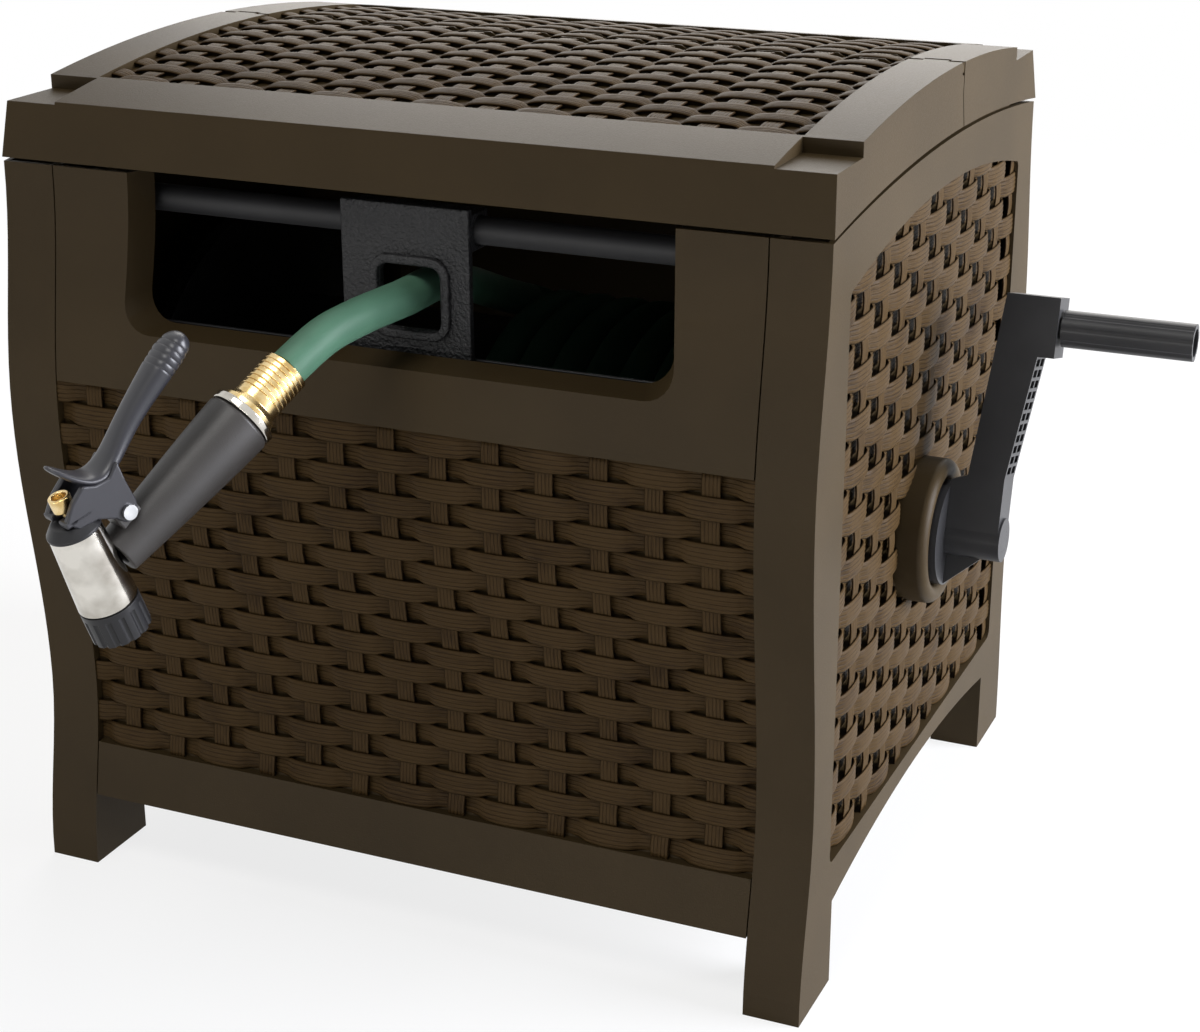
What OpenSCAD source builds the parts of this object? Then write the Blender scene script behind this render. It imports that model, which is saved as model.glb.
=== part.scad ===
// Garden hose reel box with a split lid, hose guide, crank and a hose with a pistol nozzle
// Millimetres, +Z up, front towards -Y, crank towards +X, feet on Z = 0

/* [Box] */
// Width of the box across its legs
box_w = 572; // [540:1:620]
// Wall of every moulded panel
skin = 4; // [3:0.5:5]
// Height of the panels at the front and rear edges
top_z = 506.5; // [480:0.5:540]
// Reach of the front and rear faces at their top edge
top_reach = 235.5; // [225:0.5:245]
// Reach of the front and rear faces where they swell
bulge_reach = 252; // [246:0.5:262]
// Height of the swell
bulge_z = 340; // [310:1:360]
// Reach of the front and rear faces at the waist
waist_reach = 235.5; // [228:0.5:244]
// Height of the waist
waist_z = 140; // [120:1:170]
// Reach of the front feet
front_foot_reach = 252; // [245:0.5:262]
// Reach of the rear feet
rear_foot_reach = 243; // [236:0.5:262]
// Width of the corner posts on the front and rear faces
post_w = 38; // [32:1:46]
// Depth of a leg
leg_d = 61; // [50:1:75]
// Width of the seam between a panel and a corner post
seam = 0.9; // [0.5:0.1:1.5]

/* [Side panels] */
// Rise of the arched top edge
side_rise = 15; // [8:1:20]
// Height of the lower edge beside the legs
side_sill_z = 61; // [50:1:75]
// Rise of the arched lower edge
side_sill_rise = 15; // [5:1:20]
// Depth of the sunken field
recess_d = 10; // [6:0.5:12]
// Half length of the sunken field
field_half_y = 199; // [190:1:206]
// Height of the bottom of the field
field_z0 = 90; // [84:1:100]
// Height of the top corners of the field
field_z1 = 470; // [450:1:476]
// Rise of the arched top of the field
field_rise = 22; // [10:1:26]
// Corner radius of the field
field_corner = 6; // [4:1:30]

/* [Weave] */
// Spacing of the stakes in the front, rear and lid fields
stake_pitch = 36.6; // [32:0.1:42]
// Spacing of the stakes in the side fields
side_stake_pitch = 39; // [35:0.5:44]
// Height of a row of the upright fields
row_h = 15.2; // [12:0.2:20]
// Depth of a row of the lid fields
lid_row_h = 13.5; // [11:0.1:18]
// Length of the flat top of a float
float_l = 18; // [12:1:19]
// Length of the slope at each end of a float
float_slope = 7; // [5:0.5:8]
// Gap between the floats of neighbouring rows
float_gap = 4.5; // [3:0.5:6]
// Depth of the floats below the frame of their field
float_d = 2.2; // [1.5:0.1:3]
// Depth of the floats below the frame of a side field
side_float_d = 3; // [2:0.1:4]

/* [Front and rear panels] */
// Height of the lower edge of the panels
panel_sill_z = 53; // [45:1:60]
// Height of the bottom of the woven fields
weave_z0 = 92; // [84:1:110]
// Height of the top of the front woven field
weave_z1 = 364.5; // [330:0.5:375]
// Height of the top of the rear woven field
rear_weave_z1 = 440; // [400:1:470]
// Depth of the backing behind a woven field
weave_d = 7; // [6:0.5:12]
// Width of the front face between the window and a corner post
window_margin = 52; // [43:1:68]
// Height of the window sill at the front face
window_z = 401.5; // [392:0.5:415]
// Corner radius of the window
window_corner = 20; // [10:1:28]
// Depth of the sloped window frame
reveal_d = 20; // [14:1:22]
// Draw-in of the window frame at each side
reveal_in = 14; // [6:1:18]
// Rise of the window frame at the sill
reveal_up = 8; // [4:1:12]

/* [Lid] */
// Overhang of the lid past the sides
lid_over_x = 1; // [0:0.5:5]
// Overhang of the lid past the front and rear faces
lid_over_y = 0.5; // [0:0.5:5]
// Gap between the lid and the panels
lid_gap = 2.5; // [1.5:0.5:4]
// Height of the crown of the lid
lid_crown = 567; // [556:1:590]
// Radius of the arched top
lid_radius = 1282; // [1000:1:1600]
// Slope of the lid sides
lid_draft_x = 2.5; // [0:0.5:4]
// Slope of the lid front and rear
lid_draft_y = 7.8; // [2:0.1:10]
// Height of the flat corner landings
landing_z = 545; // [536:1:548]
// Wall of the lid
lid_wall = 3; // [2.5:0.5:4]
// Width of the side rails of the lid
rail_w = 40; // [32:1:50]
// Depth of the front and rear borders of the lid
border_d = 59; // [45:1:70]
// Depth of the woven field below the frame
lid_recess = 5.5; // [4:0.5:9]
// Distance of the split behind the middle
split_y = 38; // [20:1:60]
// Width of the split
split_gap = 1.2; // [0.8:0.1:2]
// Radius of the hinge knuckles
knuckle_r = 3.5; // [3:0.1:4.5]
// Radius of the hinge pins
hinge_pin_r = 1.5; // [1:0.1:2]

/* [Reel] */
// Distance of the reel axis in front of the middle
axis_front = 16; // [0:1:30]
// Height of the reel axis
axis_z = 257; // [240:1:275]
// Radius of the drum
drum_r = 110; // [100:1:118]
// Wall of the drum
drum_wall = 3; // [2:0.5:5]
// Radius of the flanges
flange_r = 180; // [165:1:185]
// Thickness of a flange
flange_t = 4; // [3:0.5:6]
// Play between the reel and its bushes
reel_play = 3; // [2:0.5:6]
// Radius of the water axle
axle_r = 17; // [16:0.5:20]
// Running clearance of a shaft in its bush
running = 0.3; // [0.2:0.05:0.5]

/* [Crank] */
// Radius of the hub disc
disc_r = 36; // [32:1:40]
// Radius of the crank shaft
shaft_r = 20; // [16:0.5:22]
// Length of the crank from the reel axis to the grip axis
crank_len = 146; // [120:1:170]
// Lean of the crank towards the rear, in degrees
crank_lean = 14; // [0:1:40]
// Thickness of the crank arm across its face
arm_t = 28; // [24:1:34]
// Radius of the grip
grip_r = 12.5; // [11:0.5:15]
// Length of the grip
grip_len = 86; // [60:1:110]

/* [Hose guide] */
// Width of the guide plate
guide_w = 90; // [70:1:110]
// Thickness of the guide plate
guide_t = 6; // [4:0.5:8]
// Width of the hose opening
throat_w = 44; // [36:1:50]
// Height of the hose opening
throat_h = 42; // [36:1:44]
// Radius of the guide rail
rail_r = 9; // [7:0.5:10]

/* [Water inlet] */
// Radius of the inlet thread over its crests
inlet_thread_r = 13.3; // [12:0.1:15]
// Length of the inlet thread
inlet_thread_l = 16; // [12:1:22]
// Bore of the inlet tube
inlet_bore_r = 8; // [6:0.5:9]

/* [Hose] */
// Radius of the hose
hose_r = 12; // [10:0.5:12.5]
// Turns of hose on the drum
hose_turns = 9.25; // [4:0.25:12]
// Gap between neighbouring turns
turn_gap = 1; // [0.6:0.1:3]

/* [Nozzle] */
// Slope of the nozzle handle below the level, in degrees
nozzle_pitch = 35; // [0:1:60]
// Heading of the nozzle handle, in degrees
nozzle_heading = 245; // [200:1:290]
// Radius of the handle sleeve at its wide end
sleeve_r = 21; // [18:0.5:24]
// Radius of the handle sleeve at its narrow end
sleeve_end_r = 14; // [12:0.5:16]
// Length of the handle sleeve
sleeve_l = 108; // [95:1:120]
// Radius of the nozzle head at its spray end
head_r = 18; // [15:0.5:20]
// Length of the nozzle head
head_l = 52; // [44:1:60]
// Length of the spray collar
collar_l = 21; // [18:1:32]

/* [Hidden] */
$fn = 72;

// Overrun of every cut
over = 1;
// Height of one straight piece of a curved wall
wall_step = 17;
// Points of an arched edge
arch_steps = 24;
// Points of a rounded corner
corner_steps = 6;
// Clearance of a fixed fit
fit = 0.1;

brown = "#3b3026";
black = "#1c1c1e";
steel = "#b9bcc0";
brass = "#b98b3e";
green = "#3f7a5a";

// Places of the box
half = box_w / 2;
post_in = half - post_w;
axis_y = -axis_front;
field_out = half - recess_d;
field_in = field_out - skin;
flange_d = 26;
lid_edge_z = top_z + lid_gap;
lid_half = half + lid_over_x;
lid_half_d = top_reach + lid_over_y;
rail_in = lid_half - rail_w;
rail_y = lid_half_d - border_d;
window_half = post_in - window_margin;
hinge_y = split_y;

// Bearings and water inlet, along X from the middle of the box
pad_rise = 1;
pad_out = half + pad_rise;
crank_pad_rise = 10;
crank_pad_out = half + crank_pad_rise;
ring_gap = 1;
ring_tube = 6.5;
ring_r = disc_r + ring_gap + ring_tube;
pad_r = ring_r + ring_tube;
bush_wall = 4;
bush_lip_r = 7;
bush_lip = 3;
crank_bush_r = shaft_r + running + bush_wall;
axle_bush_r = axle_r + running + bush_wall;
bush_d = 10;
bush_in = field_in - bush_d;
disc_gap = 1.5;
disc_x0 = crank_pad_out + disc_gap;
disc_t = 8;
disc_x1 = disc_x0 + disc_t;
retainer_t = 6;
retainer_r = 36;
retainer_bolt_r = 28;
retainer_screw_r = 2;
retainer_screw_head_r = 4.2;
retainer_screw_head = 3;
retainer_screw_l = 14;
retainer_angles = [90, 210, 330];
collar_t = 3;
collar_play = 0.5;
inlet_neck = 9;
inlet_out = pad_out + retainer_t + inlet_neck + inlet_thread_l;
axle_out = pad_out - collar_t - collar_play;
boss_l = 27;
reel_half = bush_in - bush_lip - reel_play - flange_t - boss_l;
inlet_depth = 15;
inlet_in = reel_half - inlet_depth;
inlet_r = 12;
seal_r = 1.4;
seal_pitch = 12;
seal_sink = 1.2;
seals = 2;
axle_socket = 60;
axle_in = reel_half - axle_socket;

// Reel
rim_t = 10;
rim_wall = 4;
boss_wall = 8;
boss_r = shaft_r + boss_wall;
spigot_wall = 4;
spigot_l = 3.5;
rib_t = 4;
rib_h = 12;
flange_ribs = 8;

// Crank, along X and along the arm
hub_r = 15;
hub_l = 36;
hub_x1 = disc_x1 + hub_l;
hub_step = 1.5;
hub_end = hub_x1 + hub_step;
arm_w = 25;
arm_slant = 12;
arm_foot = 42;
head_h = 40;
head_out = 23;
head_x1 = hub_x1 + head_out;
gusset_t = 6;
gusset_h = 20;
arm_pockets = 11;
pocket_h = 5;
pocket_pitch = 7.4;
pocket_d = 13;
pocket_wall = 3.2;
spindle_r = 7;
grip_gap = 1.5;
grip_x0 = head_x1 + grip_gap;
grip_x1 = grip_x0 + grip_len;
clip_t = 2.5;
clip_r = 9;
clip_back = 8;
grip_flutes = 8;
flute_r = 3;
flute_d = 0.9;
crank_screw_r = 3;
crank_screw_head_r = 8;
crank_screw_head = 4;

// Hose guide, across the window
guide_x = 1;
guide_room = 9;
guide_y = -round(reach(window_z, front_foot_reach) - reveal_d - guide_room);
throat_x = 5;
throat_up = 39.5;
throat_z = window_z + throat_up;
throat_corner = 7;
rim_w = 6;
rim_d = 4;
carriage_d = 22;
carriage_h = 24;
rail_back = 11;
rail_up = 16;
guide_rail_y = guide_y + guide_t + rail_back;
guide_rail_z = throat_z + throat_h / 2 + rim_w + rail_up;
guide_z1 = guide_rail_z + carriage_h / 2 + skin;
bracket_x = window_half + 2 * skin;
bracket_t = 12;
guide_foot = 25;
track_z = throat_z - throat_h / 2 - rim_w - guide_foot;
track_t = 3;
track_play = 1;
guide_z0 = track_z + track_t + 2 * track_play;
track_lip_h = 11;
track_half = window_half;

// Panel screws
screw_r = 2;
screw_head_r = 4.5;
screw_head = 3;
screw_l = 16;
screw_shares = [0.16, 0.5, 0.84];
screw_in = 19;

// Reel box frame: the middle of the base of the box and its crank and inlet
frame_x = (grip_x1 - inlet_out) / 2;
front_most = max(bulge_reach, front_foot_reach);
rear_most = max(bulge_reach, rear_foot_reach);
frame_y = (rear_most - front_most) / 2;

// Route of the hose from the drum to the guide and on to the coupling, from the middle of the opening
throat = [throat_x, guide_y, throat_z];
lead_steps = [
    [-23, 188, -49], [-17, 143, -32.5], [-8, 98, -16.5], [-2, 58, -4], [0, 36, 1], [0, 22, 2]];
end_steps = [
    [0, 22, 2], [0, 6, 2], [0, -10, 2], [-1.5, -33, 2.5], [-6.5, -59, 1], [-14.5, -85, -4.5],
    [-25, -111, -19]];
lead_route = [for (step = lead_steps) throat + step];
end_route = [for (step = end_steps) throat + step];
curve_steps = 2;
lead_sides = 12;

// Nozzle, along and above its handle axis
coupling_l = 37;
coupling_r = 14.5;
coupling_lip_r = 17;
coupling_lip = 7;
coupling_grooves = 7;
groove_pitch = 3.4;
groove_d = 0.9;
ring_l = 5;
sleeve_x = coupling_l + ring_l;
sleeve_bend_shares = [0.167, 0.667];
water_r = 8;
head_x = 157;
head_z = 33;
head_turn = 165;
head_top_r = 15.5;
cap_l = 5;
spigot_r = 11;
spigot_out = 20;
rod_r = 2.5;
rod_up = 17.5;
rod_down = 40;
nut_r = 6.5;
nut_l = 9;
nut_up = 22.5;
nut_cup_r = 4.3;
nut_cup = 5;
pivot_x = 130;
pivot_z = 22;
pivot_r = 2.2;
pivot_head_r = 4.5;
pivot_head = 2;
lug_half = 8;
lug_w = 16;
lug_top = 27;
cheek_gap = 0.5;
cheek_t = 4.5;
lever_half = 11;
collar_play_l = 0.4;
collar_flutes = 14;
collar_flute_r = 2.2;

// Wall curves

function blend(a, b, t) = a + (b - a) * (1 - cos(180 * t)) / 2;

// Reach of a front or rear face at a height, from its foot to its top edge
function reach(z, foot) =
    z < waist_z ? blend(foot, waist_reach, z / waist_z) :
    z < bulge_z ? blend(waist_reach, bulge_reach, (z - waist_z) / (bulge_z - waist_z)) :
    blend(bulge_reach, top_reach, (min(z, top_z) - bulge_z) / (top_z - bulge_z));

function foot_of(side) = side < 0 ? front_foot_reach : rear_foot_reach;

function levels(z0, z1) =
    let (n = ceil((z1 - z0) / wall_step)) [for (i = [0:n]) z0 + (z1 - z0) * i / n];

function backward(list) = [for (i = [len(list) - 1:-1:0]) list[i]];

// Edge of a face, sunk by d
function edge(side, d, z0, z1) = [for (z = levels(z0, z1)) [side * (reach(z, foot_of(side)) - d), z]];

// Band of a face between two depths
function wall(side, d0, d1, z0, z1) = concat(edge(side, d0, z0, z1), backward(edge(side, d1, z0, z1)));

function arc(cx, cy, r, from, to) =
    [for (i = [0:corner_steps]) let (a = from + (to - from) * i / corner_steps)
        [cx + r * cos(a), cy + r * sin(a)]];

function crown(x, span, rise) = rise * (1 - (x / span) * (x / span));

function spread(a, b) = [for (i = [0:arch_steps]) a + (b - a) * i / arch_steps];

function lid_arch(y) = lid_crown - y * y / (2 * lid_radius);

module slab(x0, x1, points)
    translate([x0, 0, 0]) rotate([90, 0, 90]) linear_extrude(height = x1 - x0) polygon(points);

module slab_y(y0, y1, points)
    translate([0, y1, 0]) rotate([90, 0, 0]) linear_extrude(height = y1 - y0) polygon(points);

module block(x0, x1, y0, y1, z0, z1) translate([x0, y0, z0]) cube([x1 - x0, y1 - y0, z1 - z0]);

module rod(x0, x1, r, y = axis_y, z = axis_z)
    translate([x0, y, z]) rotate([0, 90, 0]) cylinder(h = x1 - x0, r = r);

module in_frame() translate([-frame_x, -frame_y, 0]) children();

// Side panels

function leg_in(side) = side * (foot_of(side) - leg_d);

function side_outline() = concat(
    edge(-1, 0, 0, top_z),
    [for (y = spread(-top_reach, top_reach)) [y, top_z + crown(y, top_reach, side_rise)]],
    backward(edge(1, 0, 0, top_z)),
    [[leg_in(1), 0]],
    [for (y = spread(leg_in(1), leg_in(-1))) [y, side_sill_z + crown(y, leg_in(1), side_sill_rise)]],
    [[leg_in(-1), 0]]);

// Outline of the sunken field, grown by g
function field_outline(g) = let (h = field_half_y + g, r = field_corner + g) concat(
    arc(h - r, field_z0 - g + r, r, -90, 0),
    arc(h - r, field_z1 + g - r, r, 0, 90),
    [for (y = spread(h - r, r - h)) [y, field_z1 + g + crown(y, h - r, field_rise)]],
    arc(r - h, field_z1 + g - r, r, 90, 180),
    arc(r - h, field_z0 - g + r, r, 180, 270));

// Weave

function row_count(a, b, h) = round((b - a) / h);

// Middles of the rows between two edges
function row_middles(a, b, h) = let (n = row_count(a, b, h), half_share = 1 / 2)
    [for (i = [0:n - 1]) a + (b - a) * (i + half_share) / n];

// Places of the floats of a row: over every second stake
function float_places(row, span, pitch) = let (n = floor((span - float_l / 2 - float_slope) / pitch))
    [for (i = [-n:n]) if ((i + row) % 2 == 0) i * pitch];

// Plan of a row of floats, as distance along the row and depth, seated in a floor of wall t at depth d1
function row_plan(places, d0, d1, t) = let (
    seat = d1 + t / 3,
    sole = d1 + 2 * t / 3,
    foot = float_l / 2 + float_slope,
    float = [[-foot, seat], [-float_l / 2, d0], [float_l / 2, d0], [foot, seat]],
    last = len(places) - 1) concat(
    [for (x = places, p = float) [x + p[0], p[1]]],
    [[places[last] + foot, sole], [places[0] - foot, sole]]);

module side_floats() {
    top = field_z1 + field_rise;
    middles = row_middles(field_z0, top, row_h);
    tall = (top - field_z0) / len(middles) - float_gap;
    span = field_half_y - field_corner;
    for (row = [0:len(middles) - 1]) {
        places = [for (y = float_places(row, field_half_y, side_stake_pitch))
            if (middles[row] + tall < field_z1 + crown(abs(y) + float_l, span, field_rise)) y];
        if (len(places) > 0) translate([0, 0, middles[row] - tall / 2]) linear_extrude(height = tall)
            polygon([for (p = row_plan(places, side_float_d, recess_d, skin)) [half - p[1], p[0]]]);
    }
}

module face_floats(side, z1) {
    middles = row_middles(weave_z0, z1, row_h);
    tall = (z1 - weave_z0) / len(middles) - float_gap;
    for (row = [0:len(middles) - 1]) let (face = reach(middles[row], foot_of(side)))
        translate([0, 0, middles[row] - tall / 2]) linear_extrude(height = tall)
            polygon([for (p = row_plan(float_places(row, post_in, stake_pitch), float_d, weave_d, skin))
                [p[0], side * (face - p[1])]]);
}

module lid_floats(y0, y1) {
    middles = row_middles(y0, y1, lid_row_h);
    wide = (y1 - y0) / len(middles) - float_gap;
    for (row = [0:len(middles) - 1]) let (y = middles[row])
        slab_y(y - wide / 2, y + wide / 2,
            [for (p = row_plan(float_places(row, rail_in, stake_pitch), float_d, lid_recess, lid_wall))
                [p[0], lid_arch(y) - p[1]]]);
}

module corner_post(side) {
    slab(post_in, half, wall(side, 0, skin, 0, top_z));
    slab(post_in, post_in + skin, wall(side, seam, flange_d, panel_sill_z, top_z));
}

module leg(side) {
    difference() {
        slab(post_in, half, concat(edge(side, 0, 0, field_z0),
            [[leg_in(side), field_z0], [leg_in(side), 0]]));
        slab(post_in + skin, half - skin, concat(edge(side, skin, skin, field_z0 + over),
            [[leg_in(side) + side * skin, field_z0 + over], [leg_in(side) + side * skin, skin]]));
    }
}

module side_shell() {
    difference() {
        slab(half - skin, half, side_outline());
        slab(half - skin - over, half + over, field_outline(0));
    }
    difference() {
        slab(field_in, half, field_outline(skin));
        slab(field_out, half + over, field_outline(0));
    }
    side_floats();
    for (side = [-1, 1]) {
        corner_post(side);
        leg(side);
    }
}

// Holes for the screws that join a corner post to a panel
module screw_places() {
    for (side = [-1, 1], share = screw_shares) {
        z = panel_sill_z + share * (top_z - panel_sill_z);
        y = side * (reach(z, foot_of(side)) - screw_in);
        translate([0, y, z]) children();
    }
}

module screw_holes() screw_places() rod(post_in - 2 * skin, post_in + 2 * skin, screw_r + fit, 0, 0);

module side_panel(bush_r, out) {
    difference() {
        union() {
            side_shell();
            rod(bush_in, out, pad_r);
        }
        rod(bush_in - over, out + over, bush_r + fit);
        screw_holes();
    }
}

module left_side_panel() color(brown) mirror([1, 0, 0]) difference() {
    side_panel(axle_bush_r, pad_out);
    for (a = retainer_angles) rod(pad_out - retainer_screw_l, pad_out + over, retainer_screw_r + fit,
        axis_y + retainer_bolt_r * cos(a), axis_z + retainer_bolt_r * sin(a));
}

module right_side_panel() color(brown) {
    side_panel(crank_bush_r, crank_pad_out);
    translate([crank_pad_out, axis_y, axis_z]) rotate([0, 90, 0])
        rotate_extrude() translate([ring_r, 0]) circle(r = ring_tube);
}

// Front and rear panels

module woven_face(side, z1) {
    flat = post_in - seam;
    slab(-flat, flat, wall(side, 0, skin, panel_sill_z, weave_z0));
    slab(-flat, flat, wall(side, 0, weave_d + skin, weave_z0 - skin, weave_z0));
    slab(-post_in, post_in, wall(side, weave_d, weave_d + skin, weave_z0 - skin, z1 + skin));
    slab(-flat, flat, wall(side, 0, weave_d + skin, z1, z1 + skin));
    for (end = [-1, 1]) translate([end * (post_in - skin / 2), 0, 0])
        slab(-skin / 2, skin / 2, wall(side, weave_d, flange_d, panel_sill_z, top_z));
    face_floats(side, z1);
}

function window_outline(w, z0, r) = concat(
    arc(w - r, z0 + r, r, -90, 0), [[w, top_z + over], [-w, top_z + over]], arc(r - w, z0 + r, r, 180, 270));

module window_taper(g) {
    hull() {
        slab_y(-bulge_reach - over, -bulge_reach,
            window_outline(window_half + g, window_z - g, window_corner + g));
        slab_y(-top_reach + reveal_d, -top_reach + reveal_d + over,
            window_outline(window_half - reveal_in + g, window_z + reveal_up - g, window_corner + g));
    }
}

module front_panel() color(brown) difference() {
    union() {
        woven_face(-1, weave_z1);
        slab(seam - post_in, post_in - seam, wall(-1, 0, skin, weave_z1, top_z));
        intersection() {
            window_taper(skin);
            slab(-post_in, post_in, wall(-1, 0, reveal_d, window_z - 2 * skin, top_z));
        }
    }
    window_taper(0);
    for (end = [0, 1]) mirror([end, 0, 0]) screw_holes();
}

module rear_panel() color(brown) difference() {
    union() {
        woven_face(1, rear_weave_z1);
        slab(seam - post_in, post_in - seam, wall(1, 0, skin, rear_weave_z1, top_z));
    }
    for (end = [0, 1]) mirror([end, 0, 0]) screw_holes();
}

module panel_screws() color(steel) for (end = [0, 1]) mirror([end, 0, 0]) screw_places() {
    rod(post_in - skin - screw_head, post_in - skin, screw_head_r, 0, 0);
    rod(post_in - skin, post_in - skin + screw_l, screw_r, 0, 0);
}

// Lid

// Side view of the lid, shrunk by d
function lid_side(d) = let (y0 = lid_half_d - d, y1 = lid_half_d - lid_draft_y - d) concat(
    [[-y0, lid_edge_z - (d > 0 ? over : 0)]],
    [for (y = spread(-y1, y1)) [y, lid_arch(y) - d]],
    [[y0, lid_edge_z - (d > 0 ? over : 0)]],
    d > 0 ? [] : [for (y = spread(y0, -y0)) [y, lid_edge_z + crown(y, y0, side_rise)]]);

// Front view of the lid, shrunk by d
function lid_front(d) = let (w = lid_half - d, t = lid_half - lid_draft_x - d) [
    [-w, lid_edge_z - over], [w, lid_edge_z - over], [t, landing_z], [t, lid_crown + over],
    [-t, lid_crown + over], [-t, landing_z]];

module lid_solid(d) intersection() {
    slab(-lid_half, lid_half, lid_side(d));
    slab_y(-lid_half_d, lid_half_d, lid_front(d));
}

function arch_band(y0, y1, d0, d1) = concat([for (y = spread(y0, y1)) [y, lid_arch(y) - d0]],
    [for (y = spread(y1, y0)) [y, lid_arch(y) - d1]]);

module lid_corners() for (sx = [0, 1], sy = [0, 1]) mirror([sx, 0, 0]) mirror([0, sy, 0]) children();

module whole_lid() difference() {
    union() {
        difference() {
            lid_solid(0);
            lid_solid(lid_wall);
        }
        slab(-rail_in - lid_wall, rail_in + lid_wall,
            arch_band(-rail_y - lid_wall, rail_y + lid_wall, lid_wall / 2, lid_recess + lid_wall));
        intersection() {
            lid_solid(0);
            lid_corners() block(rail_in - lid_wall, lid_half, rail_y - lid_wall, lid_half_d,
                landing_z - lid_wall, lid_crown);
        }
    }
    slab(-rail_in, rail_in, arch_band(-rail_y, rail_y, -over, lid_recess));
    lid_corners() block(rail_in, lid_half + over, rail_y + lid_wall, lid_half_d + over, landing_z,
        lid_crown + over);
}

knuckle_gap = 0.5;
hinge_z = lid_arch(hinge_y) - knuckle_r - knuckle_gap;
hinge_reach = knuckle_r + split_gap;
rail_top_w = lid_half - lid_draft_x - rail_in;
knuckle_shares = [0.25, 0.72];

// Span of the flap knuckle along a rail, and of the whole rail
function flap_knuckle() = [for (share = knuckle_shares) rail_in + share * rail_top_w];

module both_rails() for (end = [0, 1]) mirror([end, 0, 0]) children();

module knuckle(x0, x1, toward) {
    rod(x0, x1, knuckle_r, hinge_y, hinge_z);
    intersection() {
        block(x0, x1, min(hinge_y, hinge_y + toward * 2 * hinge_reach),
            max(hinge_y, hinge_y + toward * 2 * hinge_reach), hinge_z - knuckle_r, lid_crown);
        lid_solid(0);
    }
}

hinge_pin_x0 = rail_in + knuckle_gap;
hinge_pin_x1 = rail_in + rail_top_w - lid_wall / 2;

module hinge_bores() both_rails()
    rod(hinge_pin_x0 - over, hinge_pin_x1 + fit, hinge_pin_r + fit, hinge_y, hinge_z);

// Room for the knuckles of the other section
module knuckle_room(x0, x1, toward) block(x0, x1, min(hinge_y, hinge_y + toward * hinge_reach),
    max(hinge_y, hinge_y + toward * hinge_reach), hinge_z - hinge_reach, lid_crown + over);

module lid_flap() color(brown) {
    span = flap_knuckle();
    difference() {
        union() {
            difference() {
                whole_lid();
                block(-lid_half - over, lid_half + over, hinge_y - split_gap / 2, lid_half_d + over, 0,
                    lid_crown + over);
                both_rails() {
                    knuckle_room(rail_in - lid_wall - over, span[0], -1);
                    knuckle_room(span[1], lid_half + over, -1);
                }
            }
            both_rails() knuckle(span[0], span[1], -1);
            lid_floats(-rail_y, hinge_y - split_gap / 2);
        }
        hinge_bores();
    }
}

module lid_rear_section() color(brown) {
    span = flap_knuckle();
    tongue_y0 = hinge_y + 4 * skin;
    tongue_y1 = rail_y;
    difference() {
        union() {
            difference() {
                whole_lid();
                block(-lid_half - over, lid_half + over, -lid_half_d - over, hinge_y + split_gap / 2, 0,
                    lid_crown + over);
                both_rails() knuckle_room(span[0] - knuckle_gap, span[1] + knuckle_gap, 1);
            }
            both_rails() {
                knuckle(rail_in + knuckle_gap, span[0] - knuckle_gap, 1);
                knuckle(span[1] + knuckle_gap, rail_in + rail_top_w - knuckle_gap, 1);
            }
            lid_floats(hinge_y + split_gap / 2, rail_y);
        }
        hinge_bores();
    }
    both_rails() {
        block(half - 2 * skin, half - skin, tongue_y0, tongue_y1, top_z - 3 * skin, landing_z - 2 * lid_wall);
        block(half - 2 * skin, lid_half - lid_wall, tongue_y0, tongue_y1, top_z + side_rise + lid_gap,
            landing_z - 2 * lid_wall);
    }
}

module lid_hinge_pins() color(steel) both_rails()
    rod(hinge_pin_x0, hinge_pin_x1, hinge_pin_r, hinge_y, hinge_z);

// Bearings and water inlet

module bush(inner, out) difference() {
    union() {
        rod(bush_in, out, inner + bush_wall);
        rod(bush_in - bush_lip, bush_in, inner + bush_lip_r);
    }
    rod(bush_in - bush_lip - over, out + over, inner);
}

module left_bush() color(black) mirror([1, 0, 0]) bush(axle_r + running, pad_out);

module right_bush() color(black) bush(shaft_r + running, crank_pad_out);

module inlet_tube() color(black) mirror([1, 0, 0]) difference() {
    union() {
        rod(inlet_out - inlet_thread_l, inlet_out, inlet_thread_r);
        rod(inlet_in, inlet_out - inlet_thread_l, inlet_r);
        rod(pad_out - collar_t, pad_out, axle_r);
    }
    rod(inlet_in - over, inlet_out + over, inlet_bore_r);
    for (i = [1:seals]) translate([inlet_in + i * seal_pitch, axis_y, axis_z]) rotate([0, 90, 0])
        rotate_extrude() translate([inlet_r - seal_sink, 0]) circle(r = seal_r + fit);
}

module inlet_seals() color(black) mirror([1, 0, 0]) for (i = [1:seals])
    translate([inlet_in + i * seal_pitch, axis_y, axis_z]) rotate([0, 90, 0])
        rotate_extrude() translate([inlet_r - seal_sink, 0]) circle(r = seal_r);

module inlet_retainer() color(black) mirror([1, 0, 0]) difference() {
    rod(pad_out, pad_out + retainer_t, retainer_r);
    rod(pad_out - over, pad_out + retainer_t + over, inlet_thread_r + running);
    for (a = retainer_angles) rod(pad_out - over, pad_out + retainer_t + over, retainer_screw_r + fit,
        axis_y + retainer_bolt_r * cos(a), axis_z + retainer_bolt_r * sin(a));
}

module retainer_screws() color(steel) mirror([1, 0, 0]) for (a = retainer_angles) {
    y = axis_y + retainer_bolt_r * cos(a);
    z = axis_z + retainer_bolt_r * sin(a);
    head_x0 = pad_out + retainer_t;
    rod(head_x0, head_x0 + retainer_screw_head, retainer_screw_head_r, y, z);
    rod(head_x0 - retainer_screw_l, head_x0, retainer_screw_r, y, z);
}

// Reel

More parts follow.
